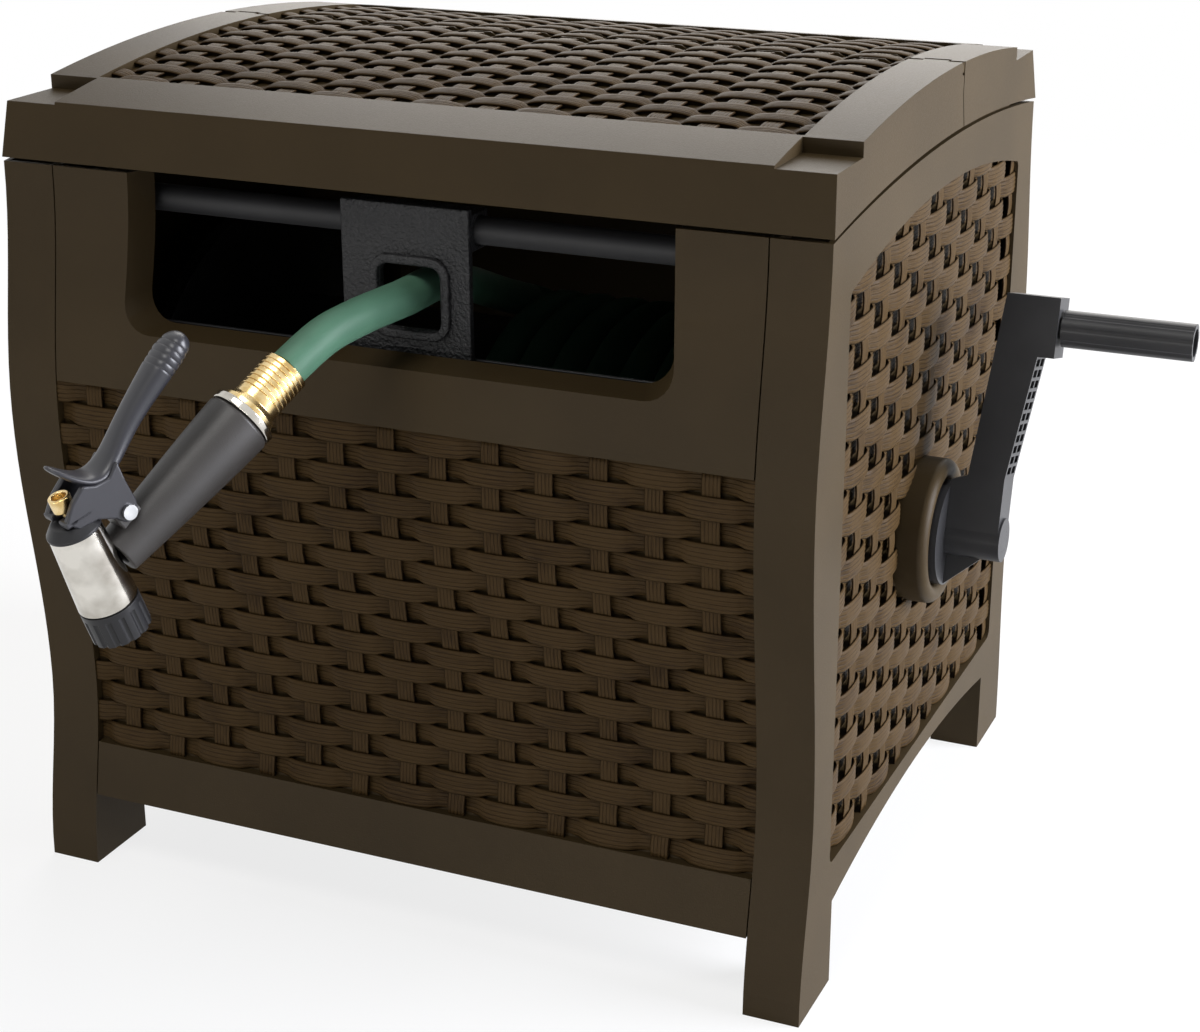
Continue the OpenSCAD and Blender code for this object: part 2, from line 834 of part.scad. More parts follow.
module flange(bore, socket) {
    difference() {
        union() {
            rod(reel_half, reel_half + flange_t, flange_r);
            rod(reel_half, reel_half + flange_t + boss_l, boss_r);
            difference() {
                rod(reel_half, reel_half + rim_t, flange_r);
                rod(reel_half - over, reel_half + rim_t + over, flange_r - rim_wall);
            }
            difference() {
                rod(reel_half - spigot_l, reel_half, drum_r - drum_wall - fit);
                rod(reel_half - spigot_l - over, reel_half, drum_r - drum_wall - spigot_wall);
            }
            difference() {
                rod(reel_half - spigot_l, reel_half, axle_r + fit + spigot_wall);
                rod(reel_half - spigot_l - over, reel_half, axle_r + fit);
            }
            for (i = [1:flange_ribs]) translate([reel_half, 0, 0]) on_reel(i * 360 / flange_ribs)
                translate([0, boss_r - over, -rib_t / 2]) cube([rib_h, flange_r - boss_r, rib_t]);
        }
        rod(reel_half - over, reel_half + flange_t + boss_l + over, bore);
        rod(reel_half + 2 * flange_t, reel_half + flange_t + boss_l + over, socket);
    }
}

module left_flange() color(black) mirror([1, 0, 0]) flange(axle_r + fit, axle_r + fit);

module right_flange() color(black) flange(crank_screw_r + fit, shaft_r + fit);

hose_pitch = 2 * hose_r + turn_gap;
wind_r = drum_r + hose_r + turn_gap / 2;
wind_x = reel_half - hose_r - turn_gap;
leave_angle = 70;
start_angle = leave_angle - 360 * hose_turns;
loop_rings = 24;
hose_sides = 6;
elbow_spigot = 16;
elbow_back = 2 * hose_r + elbow_spigot;
elbow_angle = start_angle - atan(elbow_back / wind_r);
elbow_len = sqrt(elbow_back * elbow_back + wind_r * wind_r);
elbow_r = 9;
elbow_bore_r = 6;
elbow_ball_r = hose_r + turn_gap / 2;

module on_reel(angle) translate([0, axis_y, axis_z]) rotate([angle, 0, 0]) children();

// Along the radius of the outlet elbow, and along the hose at its inner end
module at_elbow() translate([wind_x, 0, 0]) on_reel(elbow_angle) rotate([-90, 0, 0]) children();

module at_hose_start()
    translate([wind_x, 0, 0]) on_reel(start_angle) translate([0, wind_r, -elbow_back]) children();

module reel_drum() color(black) difference() {
    rod(-reel_half, reel_half, drum_r);
    rod(-reel_half - over, reel_half + over, drum_r - drum_wall);
    at_elbow() cylinder(h = drum_r + over, r = elbow_r + fit);
}

module water_axle() color(black) difference() {
    rod(-axle_out, reel_half - fit, axle_r);
    rod(-axle_out - over, -axle_in, inlet_r + running);
    rod(-axle_in - over, wind_x + elbow_r, inlet_bore_r);
    at_elbow() cylinder(h = axle_r + over, r = elbow_r + fit);
}

module outlet_elbow() color(brass) difference() {
    union() {
        at_elbow() translate([0, 0, axle_r - skin]) cylinder(h = elbow_len - axle_r + skin, r = elbow_r);
        at_elbow() translate([0, 0, elbow_len]) sphere(r = elbow_ball_r);
        at_hose_start() cylinder(h = elbow_spigot - fit, r = hose_r - turn_gap);
    }
    at_elbow() translate([0, 0, axle_r - 2 * skin])
        cylinder(h = elbow_len - axle_r + 2 * skin, r = elbow_bore_r);
    at_elbow() translate([0, 0, elbow_len]) sphere(r = elbow_ball_r - skin);
    at_hose_start() cylinder(h = elbow_spigot + over, r = elbow_bore_r);
}

// Hose

function unit(v) = v / norm(v);

function radial(a) = [0, cos(a), sin(a)];

function tangent(a) = [0, -sin(a), cos(a)];

function on_drum(a, x) = [x, axis_y, axis_z] + wind_r * radial(a);

wind_turn = [for (i = [0:loop_rings * hose_turns]) let (t = i / loop_rings)
    on_drum(start_angle + 360 * t, wind_x - hose_pitch * t)];
wind_last = len(wind_turn) - 1;
wind_path = concat([wind_turn[0] - 2 * hose_r * tangent(start_angle)], wind_turn,
    [wind_turn[wind_last] + 2 * hose_r * tangent(leave_angle)]);

// Smooth curve through chosen points, with the given number of steps between them
function curve_point(a, b, c, d, t) = 0.5 * (2 * b + (c - a) * t + (2 * a - 5 * b + 4 * c - d) * t * t
    + (3 * b - a - 3 * c + d) * t * t * t);

function curve(p, steps) = concat([for (i = [0:len(p) - 2], s = [0:steps - 1])
    curve_point(p[max(i - 1, 0)], p[i], p[i + 1], p[min(i + 2, len(p) - 1)], s / steps)], [p[len(p) - 1]]);

lead_path = curve(concat([wind_path[len(wind_path) - 1]], lead_route), curve_steps);
end_path = curve(end_route, curve_steps);

function direction(p, i) = unit(p[min(i + 1, len(p) - 1)] - p[max(i - 1, 0)]);

function ring_at(p, i, first, last, r, sides) = let (
    d = i == 0 ? first : i == len(p) - 1 ? last : direction(p, i),
    a = unit([1, 0, 0] - d[0] * d),
    b = cross(d, a))
    [for (k = [0:sides - 1]) let (w = 360 * k / sides) p[i] + r * (cos(w) * a + sin(w) * b)];

// Unbroken tube along a path, with end directions square to what its ends meet
module tube(p, first, last, r, sides) {
    rings = len(p);
    points = [for (i = [0:rings - 1], q = ring_at(p, i, first, last, r, sides)) q];
    walls = [for (i = [0:rings - 2], k = [0:sides - 1], t = [0, 1]) let (
        a = i * sides + k, b = i * sides + (k + 1) % sides, c = a + sides, e = b + sides)
        t == 0 ? [a, c, b] : [b, c, e]];
    caps = [for (k = [1:sides - 2], t = [0, 1]) let (z = (rings - 1) * sides)
        t == 0 ? [0, k, k + 1] : [z, z + k + 1, z + k]];
    polyhedron(points = points, faces = concat(walls, caps));
}

// Least gap of the winding to itself, measured on points half a turn and more apart
wind_gap = min([for (i = [0:4:wind_last]) min([for (j = [0:wind_last]) if (abs(i - j) >= loop_rings / 2)
    norm(wind_turn[i] - wind_turn[j])])]) - 2 * hose_r;
echo(least_gap_of_winding = wind_gap);

module hose_winding() color(green)
    tube(wind_path, tangent(start_angle), tangent(leave_angle), hose_r, hose_sides);

nozzle_dir = [
    cos(nozzle_pitch) * cos(nozzle_heading), cos(nozzle_pitch) * sin(nozzle_heading), -sin(nozzle_pitch)];

module hose_lead() color(green) tube(lead_path, tangent(leave_angle), [0, -1, 0], hose_r, lead_sides);

module hose_end() color(green) tube(end_path, [0, -1, 0], nozzle_dir, hose_r, lead_sides);

// Crank

module on_crank() on_reel(-crank_lean) children();

arm_x0 = hub_x1 - arm_w;
arm_top = crank_len + head_h / 2;

function arm_outline() = [
    [disc_x1, 0], [hub_x1, 0], [hub_x1, arm_foot], [hub_x1 + arm_slant, crank_len - head_h / 2],
    [head_x1, crank_len - head_h / 2], [head_x1, arm_top], [arm_x0 + arm_slant, arm_top],
    [arm_x0, arm_foot], [disc_x1, arm_foot - skin]];

module crank_arm() color(black) difference() {
    union() {
        rod(reel_half + 2 * flange_t, disc_x0, shaft_r);
        rod(disc_x0, disc_x1, disc_r);
        rod(disc_x1, hub_end, hub_r);
        on_crank() {
            slab_y(-arm_t / 2, arm_t / 2, arm_outline());
            slab_y(-gusset_t / 2, gusset_t / 2, [[disc_x1, -hub_r / 2], [disc_x1, -hub_r - gusset_h],
                [hub_x1 - skin, -hub_r / 2]]);
            rod(head_x1, grip_x1 - clip_back, spindle_r, 0, crank_len);
        }
    }
    rod(reel_half, hub_end + over, crank_screw_r + fit);
    rod(hub_end - crank_screw_head, hub_end + over, crank_screw_head_r + fit);
    on_crank() for (i = [0:arm_pockets - 1], s = [-1, 1]) {
        z = arm_foot + pocket_wall + i * pocket_pitch;
        x1 = hub_x1 + arm_slant * (z - arm_foot) / (crank_len - head_h / 2 - arm_foot);
        pocket_w = (arm_t - 3 * pocket_wall) / 2;
        y = s * (pocket_w + pocket_wall) / 2;
        block(x1 - pocket_d, x1 + skin, y - pocket_w / 2, y + pocket_w / 2, z, z + pocket_h);
    }
}

module crank_screw() color(steel) {
    rod(hub_end - crank_screw_head, hub_end, crank_screw_head_r);
    rod(reel_half + flange_t, hub_end - crank_screw_head, crank_screw_r);
}

module grip_clip() color(steel) on_crank() difference() {
    rod(grip_x1 - clip_back - clip_t, grip_x1 - clip_back, clip_r, 0, crank_len);
    rod(grip_x1 - clip_back - clip_t - over, grip_x1, spindle_r + fit, 0, crank_len);
}

module crank_grip() color(black) on_crank() difference() {
    rod(grip_x0, grip_x1, grip_r, 0, crank_len);
    rod(grip_x0 - over, grip_x1 + over, spindle_r + running, 0, crank_len);
    rod(grip_x1 - clip_back - clip_t - running, grip_x1 + over, clip_r + running, 0, crank_len);
    for (i = [1:grip_flutes]) let (a = i * 360 / grip_flutes, d = grip_r + flute_r - flute_d)
        rod(grip_x0 - over, grip_x1 + over, flute_r, d * cos(a), crank_len + d * sin(a));
}

// Hose guide

function box_outline(cx, cz, w, h, r) = concat(
    arc(cx + w / 2 - r, cz - h / 2 + r, r, -90, 0), arc(cx + w / 2 - r, cz + h / 2 - r, r, 0, 90),
    arc(cx - w / 2 + r, cz + h / 2 - r, r, 90, 180), arc(cx - w / 2 + r, cz - h / 2 + r, r, 180, 270));

module guide_plate() color(black) difference() {
    union() {
        block(guide_x - guide_w / 2, guide_x + guide_w / 2, guide_y, guide_y + guide_t, guide_z0, guide_z1);
        block(guide_x - guide_w / 2, guide_x + guide_w / 2, guide_y + guide_t, guide_y + guide_t + carriage_d,
            guide_rail_z - carriage_h / 2, guide_rail_z + carriage_h / 2);
    }
    rod(guide_x - guide_w, guide_x + guide_w, rail_r + running, guide_rail_y, guide_rail_z);
    slab_y(guide_y - over, guide_y + guide_t + over,
        box_outline(throat_x, throat_z, throat_w, throat_h, throat_corner));
}

module guide_rim() color(black) difference() {
    slab_y(guide_y - rim_d, guide_y,
        box_outline(throat_x, throat_z, throat_w + 2 * rim_w, throat_h + 2 * rim_w, throat_corner + rim_w));
    slab_y(guide_y - rim_d - over, guide_y + over,
        box_outline(throat_x, throat_z, throat_w, throat_h, throat_corner));
}

module guide_rail() color(black)
    rod(-bracket_x - bracket_t + skin, bracket_x + bracket_t - skin, rail_r, guide_rail_y, guide_rail_z);

function panel_back(z) = -(reach(z, front_foot_reach) - skin);

module rail_brackets() color(black) for (end = [0, 1]) mirror([end, 0, 0]) difference() {
    block(bracket_x, bracket_x + bracket_t, panel_back(guide_rail_z + carriage_h / 2),
        guide_rail_y + rail_r + skin, guide_rail_z - carriage_h / 2, guide_rail_z + carriage_h / 2);
    rod(bracket_x - over, bracket_x + bracket_t - skin, rail_r + fit, guide_rail_y, guide_rail_z);
}

module guide_track() color(black) {
    back = panel_back(track_z + track_t) + 2 * fit;
    lip_y = [guide_y - track_play - track_t, guide_y + guide_t + track_play];
    block(-track_half, track_half, back, lip_y[1] + track_t, track_z, track_z + track_t);
    for (y = lip_y) block(-track_half, track_half, y, y + track_t, track_z, track_z + track_t + track_lip_h);
}

// Nozzle

module at_nozzle()
    translate(end_route[len(end_route) - 1]) rotate([0, nozzle_pitch, nozzle_heading]) children();

module at_head() at_nozzle() translate([head_x, 0, head_z]) rotate([0, head_turn, 0]) children();

// Turned shape along the handle axis
module turned(points) rotate([0, 90, 0]) rotate_extrude() polygon([for (p = points) [p[1], p[0]]]);

module hose_coupling() color(brass) at_nozzle() difference() {
    turned([[fit, water_r], [fit, coupling_r], [coupling_l - coupling_lip, coupling_r],
        [coupling_l - coupling_lip / 2, coupling_lip_r], [coupling_l, coupling_lip_r],
        [coupling_l, water_r]]);
    for (i = [1:coupling_grooves]) turned([[i * groove_pitch, coupling_r - groove_d],
        [i * groove_pitch - groove_d, coupling_r + over], [i * groove_pitch + groove_d, coupling_r + over]]);
}

module handle_ring() color(steel) at_nozzle() turned([[coupling_l, water_r], [coupling_l, sleeve_r],
    [sleeve_x, sleeve_r + fit], [sleeve_x, water_r]]);

module handle_sleeve() color(black) difference() {
    bend_x = [for (share = sleeve_bend_shares) sleeve_x + share * sleeve_l];
    at_nozzle() difference() {
        union() {
            turned([[sleeve_x, water_r], [sleeve_x, sleeve_r], [bend_x[0], sleeve_r],
                [bend_x[1], (sleeve_r + sleeve_end_r) / 2], [sleeve_x + sleeve_l, sleeve_end_r],
                [sleeve_x + sleeve_l, water_r]]);
            difference() {
                block(pivot_x - lug_w / 2, pivot_x + lug_w / 2, -lug_half, lug_half, 0, lug_top);
                rod(sleeve_x, sleeve_x + sleeve_l, water_r, 0, 0);
            }
        }
        at_pivot() cylinder(h = 4 * lug_half, r = pivot_r + fit, center = true);
    }
    at_head() cylinder(h = head_l, r = head_r + fit);
}

module nozzle_head() color(steel) at_head() difference() {
    union() {
        cylinder(h = head_l, r1 = head_top_r, r2 = head_r);
        translate([0, 0, -cap_l]) cylinder(h = cap_l, r1 = head_top_r - skin, r2 = head_top_r);
        translate([0, 0, head_l]) cylinder(h = spigot_out, r = spigot_r);
    }
    translate([0, 0, -cap_l - over])
        cylinder(h = cap_l + head_l + spigot_out + 2 * over, r = rod_r + running);
}

module spray_collar() color(black) at_head() translate([0, 0, head_l + collar_play_l]) difference() {
    cylinder(h = collar_l, r = head_r);
    translate([0, 0, -over]) cylinder(h = collar_l + 2 * over, r = spigot_r + running);
    for (i = [1:collar_flutes]) let (a = i * 360 / collar_flutes, d = head_r + collar_flute_r / 2)
        translate([d * cos(a), d * sin(a), skin]) cylinder(h = collar_l, r = collar_flute_r);
}

module valve_rod() color(brass) at_head()
    translate([0, 0, -rod_up]) cylinder(h = rod_up + rod_down, r = rod_r);

module flow_nut() color(brass) at_head() translate([0, 0, -nut_up]) difference() {
    cylinder(h = nut_l, r = nut_r);
    translate([0, 0, -over]) cylinder(h = nut_l + 2 * over, r = rod_r + fit / 2);
    translate([0, 0, -over]) cylinder(h = nut_cup + over, r = nut_cup_r);
}

module at_pivot() translate([pivot_x, 0, pivot_z]) rotate([90, 0, 0]) children();

module trigger_pin() color(steel) at_nozzle() at_pivot() {
    pin_half = lug_half + cheek_gap + cheek_t + running;
    cylinder(h = 2 * pin_half, r = pivot_r, center = true);
    for (s = [-1, 1]) translate([0, 0, s * (pin_half + pivot_head / 2)])
        cylinder(h = pivot_head, r = pivot_head_r, center = true);
}

// Lever outlines about the pivot, as shares of the lever length ahead of it
lever_len = 86;
lever_shares = [
    [-1, 0.48], [-1, 0.56], [-0.95, 0.6], [-0.81, 0.58], [-0.58, 0.51], [-0.35, 0.42], [-0.2, 0.345],
    [-0.05, 0.34], [0.1, 0.51], [0.14, 0.5], [0.06, 0.3], [-0.03, 0.2], [-0.16, 0.19], [-0.3, 0.26],
    [-0.58, 0.38], [-0.81, 0.45]];
cheek_shares = [
    [-0.21, 0.22], [-0.08, -0.02], [-0.045, -0.062], [0.07, -0.085], [0.1, -0.02], [0.18, 0.185],
    [0.38, 0.24], [0.37, 0.285], [0.06, 0.3], [-0.05, 0.26]];
saddle_shares = [[0.18, 0.185], [0.38, 0.24], [0.37, 0.285], [0.17, 0.23]];
bridge_shares = [[-0.167, 0.227], [0, 0.227], [0, 0.278], [-0.167, 0.278]];
saddle_slot = 5;
saddle_slot_w = 8;

module lever_plate(shares, y0, y1) translate([pivot_x, 0, pivot_z]) slab_y(y0, y1, lever_len * shares);

module trigger_lever() color(black) at_nozzle() difference() {
    cheek_in = lug_half + cheek_gap;
    cheek_out = cheek_in + cheek_t;
    union() {
        lever_plate(lever_shares, -lever_half, lever_half);
        lever_plate(cheek_shares, cheek_in, cheek_out);
        lever_plate(cheek_shares, -cheek_out, -cheek_in);
        lever_plate(saddle_shares, -cheek_out, cheek_out);
        lever_plate(bridge_shares, -cheek_out, cheek_out);
    }
    at_pivot() cylinder(h = 6 * lug_half, r = pivot_r + fit, center = true);
    translate([head_x, 0, head_z]) rotate([0, head_turn, 0])
        block(-4 * saddle_slot, saddle_slot, -saddle_slot_w / 2, saddle_slot_w / 2, -rod_up, 0);
}

in_frame() left_side_panel();
in_frame() right_side_panel();
in_frame() front_panel();
in_frame() rear_panel();
in_frame() lid_flap();
in_frame() lid_rear_section();
in_frame() lid_hinge_pins();
in_frame() panel_screws();
in_frame() left_bush();
in_frame() right_bush();
in_frame() inlet_tube();
in_frame() inlet_retainer();
in_frame() retainer_screws();
in_frame() inlet_seals();
in_frame() guide_rail();
in_frame() rail_brackets();
in_frame() guide_track();
in_frame() reel_drum();
in_frame() left_flange();
in_frame() right_flange();
in_frame() water_axle();
in_frame() outlet_elbow();
in_frame() hose_winding();
in_frame() crank_arm();
in_frame() crank_screw();
in_frame() grip_clip();
in_frame() crank_grip();
in_frame() guide_plate();
in_frame() guide_rim();
in_frame() hose_lead();
in_frame() hose_end();
in_frame() hose_coupling();
in_frame() handle_ring();
in_frame() handle_sleeve();
in_frame() nozzle_head();
in_frame() trigger_pin();
in_frame() trigger_lever();
in_frame() valve_rod();
in_frame() flow_nut();
in_frame() spray_collar();
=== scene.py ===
# Looks of a garden hose reel box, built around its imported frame
import math

import bmesh
import bpy
from mathutils import Matrix, Vector


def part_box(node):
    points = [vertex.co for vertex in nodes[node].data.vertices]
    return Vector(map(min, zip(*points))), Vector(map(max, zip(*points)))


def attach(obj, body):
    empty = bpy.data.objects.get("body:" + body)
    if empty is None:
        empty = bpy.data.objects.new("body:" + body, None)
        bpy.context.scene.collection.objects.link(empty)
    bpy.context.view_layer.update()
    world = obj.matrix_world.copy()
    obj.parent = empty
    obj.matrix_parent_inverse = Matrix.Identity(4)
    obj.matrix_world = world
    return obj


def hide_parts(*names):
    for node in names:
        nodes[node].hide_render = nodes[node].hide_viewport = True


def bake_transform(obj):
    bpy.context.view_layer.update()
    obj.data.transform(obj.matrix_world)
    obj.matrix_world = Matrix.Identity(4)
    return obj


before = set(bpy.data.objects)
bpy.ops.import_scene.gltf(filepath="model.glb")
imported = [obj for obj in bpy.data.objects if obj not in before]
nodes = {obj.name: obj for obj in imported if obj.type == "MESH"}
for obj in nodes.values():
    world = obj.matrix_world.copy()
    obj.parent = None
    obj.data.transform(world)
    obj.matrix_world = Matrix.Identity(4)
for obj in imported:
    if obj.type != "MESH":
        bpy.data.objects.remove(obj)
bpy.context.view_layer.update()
mm = 0.001
panelLow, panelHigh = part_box("front_panel")
boxMid = (panelLow.x + panelHigh.x) / 2  # middle of the box, in the row frame
print("frame loaded:", len(nodes), "nodes")


# places are given in millimetres from the middle of the box
def atBox(x, y, z):
    return Vector((boxMid + x * mm, y * mm, z * mm))


def meshFrom(bm, name):
    mesh = bpy.data.meshes.new(name)
    bm.to_mesh(mesh)
    bm.free()
    return mesh


def addObject(name, data):
    obj = bpy.data.objects.new(name, data)
    bpy.context.scene.collection.objects.link(obj)
    return obj


def shift(x, y, z):
    return Matrix.Translation(Vector((x, y, z)) * mm)


def turnAbout(axis, degrees):
    return Matrix.Rotation(math.radians(degrees), 4, axis)


# camera

cameraSetup = {  # place in metres, angles in degrees, lens and sensor in millimetres
    "place": (0.6088, -1.4543, 0.8258),
    "turn": 23.669,  # to the right of the front
    "down": 20.78,
    "roll": -0.112,
    "lens": 69.25,
    "sensor": 36,
}


def makeCamera(setup):
    data = bpy.data.cameras.new("camera")
    data.lens = setup["lens"]
    data.sensor_width = setup["sensor"]
    camera = addObject("camera", data)
    heading = turnAbout("Z", setup["turn"])
    tilt = turnAbout("X", 90 - setup["down"])
    roll = turnAbout("Z", setup["roll"])
    camera.matrix_world = Matrix.Translation(setup["place"]) @ heading @ tilt @ roll
    bpy.context.scene.camera = camera


makeCamera(cameraSetup)


# materials

def addNode(tree, kind, values=None, **settings):
    made = tree.nodes.new(kind)
    for name, value in settings.items():
        setattr(made, name, value)
    for socket, value in (values or {}).items():
        made.inputs[socket].default_value = value
    return made


def startMaterial(name, look):
    material = bpy.data.materials.new(name)
    material.use_nodes = True
    tree = material.node_tree
    shader = tree.nodes["Principled BSDF"]
    shader.inputs["Metallic"].default_value = look.get("metallic", 0)
    shader.inputs["Specular IOR Level"].default_value = look.get("specular", 0.5)
    return material, tree, shader


def rampBetween(tree, source, low, high, start=0.35, end=0.65):
    ramp = addNode(tree, "ShaderNodeValToRGB")
    ramp.color_ramp.elements[0].position = start
    ramp.color_ramp.elements[1].position = end
    ramp.color_ramp.elements[0].color = (*low, 1)
    ramp.color_ramp.elements[1].color = (*high, 1)
    tree.links.new(source, ramp.inputs["Fac"])
    return ramp.outputs["Color"]


def roughnessFrom(tree, shader, source, low, high):
    spread = addNode(tree, "ShaderNodeMapRange", {"To Min": low, "To Max": high})
    tree.links.new(source, spread.inputs["Value"])
    tree.links.new(spread.outputs["Result"], shader.inputs["Roughness"])


def bumpFrom(tree, shader, source, strength, depth, below=None):
    bump = addNode(tree, "ShaderNodeBump", {"Strength": strength, "Distance": depth})
    tree.links.new(source, bump.inputs["Height"])
    if below is not None:
        tree.links.new(below.outputs["Normal"], bump.inputs["Normal"])
    tree.links.new(bump.outputs["Normal"], shader.inputs["Normal"])
    return bump


def noiseOn(tree, vector, scale, detail=2):
    noise = addNode(tree, "ShaderNodeTexNoise", {"Scale": scale, "Detail": detail})
    tree.links.new(vector, noise.inputs["Vector"])
    return noise.outputs["Fac"]


def plastic(name, look):
    material, tree, shader = startMaterial(name, look)
    place = addNode(tree, "ShaderNodeTexCoord").outputs["Object"]
    drift = noiseOn(tree, place, look["driftScale"], detail=4)
    colour = rampBetween(tree, drift, look["dark"], look["light"])
    tree.links.new(colour, shader.inputs["Base Color"])
    grain = noiseOn(tree, place, look["grainScale"], detail=3)
    roughnessFrom(tree, shader, grain, look["smooth"], look["rough"])
    bumpFrom(tree, shader, grain, look["grain"], look["grainDepth"])
    return material


def combine(tree, operation, first, second):
    made = addNode(tree, "ShaderNodeMath", operation=operation)
    for socket, value in zip(made.inputs, (first, second)):
        if isinstance(value, (int, float)):
            socket.default_value = value
        else:
            tree.links.new(value, socket)
    return made.outputs["Value"]


# moulded strips with grooves and fine fibre lines that run along each strip; the grooves are also darkened
# in the base colour, which is painted shade
def strips(name, look):
    material, tree, shader = startMaterial(name, look)
    coords = addNode(tree, "ShaderNodeTexCoord")
    stretch = addNode(tree, "ShaderNodeMapping", {"Scale": look["fibreScale"]})
    tree.links.new(coords.outputs["UV"], stretch.inputs["Vector"])
    fibre = noiseOn(tree, stretch.outputs["Vector"], scale=1)
    drift = noiseOn(tree, coords.outputs["Object"], look["driftScale"], detail=3)
    across = addNode(tree, "ShaderNodeSeparateXYZ")
    tree.links.new(coords.outputs["UV"], across.inputs["Vector"])
    halfStrand = 0.5
    count = combine(tree, "MULTIPLY", across.outputs["Y"], look["strands"])
    strand = combine(tree, "PINGPONG", count, halfStrand)
    # painted shade: the groove mask darkens the base colour in each groove and also drives the groove bump
    groove = addNode(tree, "ShaderNodeMapRange", {
        "From Max": look["grooveWidth"], "To Min": look["paintedGrooveShade"]})
    tree.links.new(strand, groove.inputs["Value"])
    grooveHeightAndShade = groove.outputs["Result"]
    shade = combine(tree, "MULTIPLY", combine(tree, "ADD", fibre, drift), grooveHeightAndShade)
    colour = rampBetween(tree, shade, look["dark"], look["light"], *look["shadeRange"])
    tree.links.new(colour, shader.inputs["Base Color"])
    roughnessFrom(tree, shader, fibre, look["smooth"], look["rough"])
    fine = bumpFrom(tree, shader, fibre, look["fibre"], look["fibreDepth"])
    bumpFrom(tree, shader, grooveHeightAndShade, look["groove"], look["grooveDepth"], fine)
    return material


def metal(name, look):
    material, tree, shader = startMaterial(name, dict(look, metallic=1))
    place = addNode(tree, "ShaderNodeTexCoord").outputs["Object"]
    # one noise varies the metal's tone and roughness; on chrome its dark end is painted reflection
    metalTone = noiseOn(tree, place, look["toneScale"], detail=4)
    colour = rampBetween(tree, metalTone, look["dark"], look["light"])
    tree.links.new(colour, shader.inputs["Base Color"])
    roughnessFrom(tree, shader, metalTone, look["smooth"], look["rough"])
    scratch = noiseOn(tree, place, look["scratchScale"])
    bumpFrom(tree, shader, scratch, look["scratch"], look["scratchDepth"])
    return material


brownLook = {
    "dark": (0.0290, 0.0192, 0.0080),
    "light": (0.0355, 0.0236, 0.0100),
    "specular": 0.1,
    "driftScale": 9,
    "grainScale": 900,
    "smooth": 0.42,
    "rough": 0.56,
    "grain": 0.25,
    "grainDepth": 0.0004,
}
weaveLook = {
    "dark": (0.013, 0.0066, 0.0026),
    "light": (0.044, 0.0264, 0.0102),
    "specular": 0.05,
    "shadeRange": (0.5, 1.2),
    "driftScale": 25,
    "fibreScale": (26, 13, 1),
    "smooth": 0.38,
    "rough": 0.56,
    "fibre": 0.5,
    "fibreDepth": 0.0006,
    "strands": 5,
    "grooveWidth": 0.14,
    # how far the painted groove shade darkens the colour in the grooves
    "paintedGrooveShade": 0.55,
    "groove": 0.7,
    "grooveDepth": 0.0008,
}
blackLook = {
    "dark": (0.010, 0.010, 0.011),
    "light": (0.016, 0.016, 0.017),
    "specular": 0.3,
    "driftScale": 14,
    "grainScale": 1100,
    "smooth": 0.3,
    "rough": 0.45,
    "grain": 0.2,
    "grainDepth": 0.0003,
}
brown = plastic("brownResin", brownLook)
weave = strips("wovenResin", weaveLook)
black = plastic("blackResin", blackLook)
blackGloss = plastic("blackGloss", dict(
    blackLook, dark=(0.019, 0.019, 0.020), light=(0.029, 0.029, 0.030), specular=0.14, smooth=0.28,
    rough=0.42, grain=0.1))
guideGrain = plastic("guideGrain", dict(
    blackLook, grainScale=480, grain=1, grainDepth=0.0016, smooth=0.36, rough=0.55))
railSatin = plastic("railSatin", dict(blackLook, smooth=0.5, rough=0.6))
sleeveGrip = plastic("sleeveGrip", dict(
    blackLook, dark=(0.017, 0.015, 0.0135), light=(0.025, 0.022, 0.020), specular=0.5, smooth=0.38,
    rough=0.52, grainScale=1600, grain=0.35))
leverPaint = plastic("leverPaint", dict(
    blackLook, dark=(0.013, 0.013, 0.017), light=(0.019, 0.019, 0.024), specular=0.5, smooth=0.3,
    rough=0.42, grain=0.08))
sealRubber = plastic("sealRubber", dict(blackLook, smooth=0.6, rough=0.75))
hoseLook = dict(
    blackLook, dark=(0.072, 0.165, 0.108), light=(0.086, 0.192, 0.126), specular=0.25, driftScale=30,
    grainScale=700, smooth=0.42, rough=0.55, grain=0.08)
hoseVinyl = plastic("hoseVinyl", hoseLook)
woundVinyl = plastic("woundVinyl", dict(hoseLook, smooth=0.7, rough=0.85, specular=0.04))
# painted reflection: chrome's wide dark-to-light tone at a coarse scale stands in for darker, cloudy
# reflections
chrome = metal("chrome", {
    "dark": (0.42, 0.395, 0.35), "light": (0.68, 0.655, 0.60), "toneScale": 45, "smooth": 0.08,
    "rough": 0.2, "scratchScale": 700, "scratch": 0.04, "scratchDepth": 0.0002})
steel = metal("steel", {
    "dark": (0.50, 0.51, 0.52), "light": (0.66, 0.67, 0.68), "toneScale": 90, "smooth": 0.22,
    "rough": 0.38, "scratchScale": 900, "scratch": 0.08, "scratchDepth": 0.0002})
brass = metal("brass", {
    "dark": (0.60, 0.42, 0.17), "light": (0.82, 0.65, 0.36), "toneScale": 120, "smooth": 0.16,
    "rough": 0.32, "scratchScale": 900, "scratch": 0.06, "scratchDepth": 0.0002})
print("materials made")


# CAD nodes keep their shape and get soft edges and a finish

def putMaterial(obj, material):
    obj.data.materials.clear()
    obj.data.materials.append(material)
    obj.data.polygons.foreach_set("use_smooth", [True] * len(obj.data.polygons))


def softEdges(obj, width, angle=32, segments=3):
    rounding = obj.modifiers.new("edges", "BEVEL")
    rounding.width = width * mm
    rounding.segments = segments
    rounding.limit_method = "ANGLE"
    rounding.angle_limit = math.radians(angle)
    rounding.harden_normals = True
    normals = obj.modifiers.new("normals", "WEIGHTED_NORMAL")
    normals.keep_sharp = True


